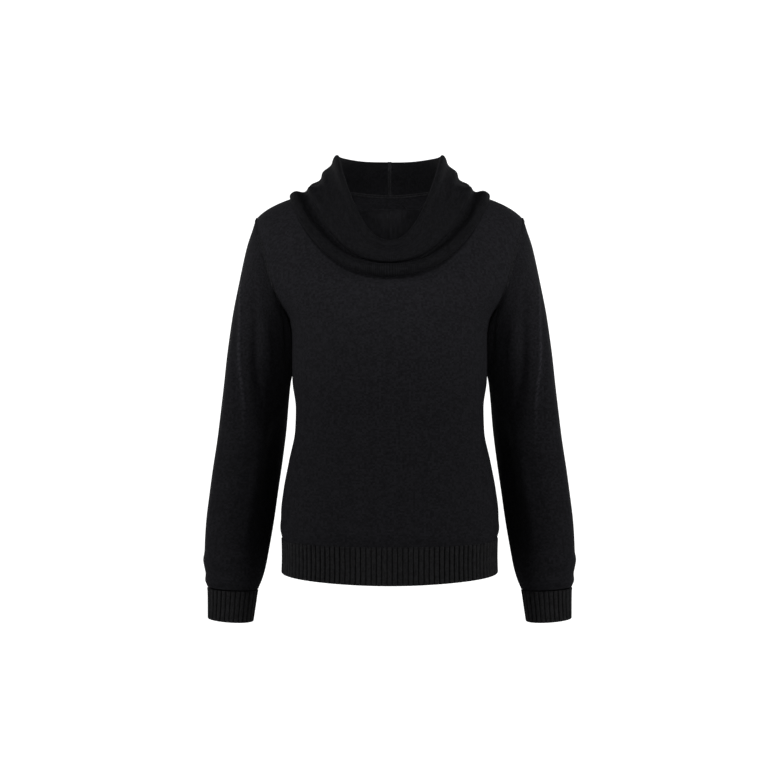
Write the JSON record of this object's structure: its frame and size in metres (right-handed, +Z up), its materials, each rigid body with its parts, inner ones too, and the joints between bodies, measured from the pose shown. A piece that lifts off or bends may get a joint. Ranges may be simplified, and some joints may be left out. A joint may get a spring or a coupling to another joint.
{
  "type": "cowl neck sweater filled out with no wearer",
  "caption": "Long-sleeve fine-knit sweater with a turned-down draped cowl collar and ribbed hem and cuffs, filled out as worn with no wearer.",
  "frame": {"origin": "midway between the two points where the shoulder seams meet the neckline, where the wearer's shoulders and neck carry the sweater", "axes": "+Z up the body, the front towards -Y, the wearer's left side at +X"},
  "size_m": [0.574, 0.2499, 0.7201],
  "materials": {
    "knit": "fine black plain knit, matt with a soft sheen",
    "rib_knit": "black ribbed knit, matt"
  },
  "bodies": {
    "root": {"front": "knit", "back": "knit", "sleeve_left": "knit", "sleeve_right": "knit", "collar": "knit", "hem_rib_front": "rib_knit", "hem_rib_back": "rib_knit", "cuff_left": "rib_knit", "cuff_right": "rib_knit"}
  },
  "joints": []
}
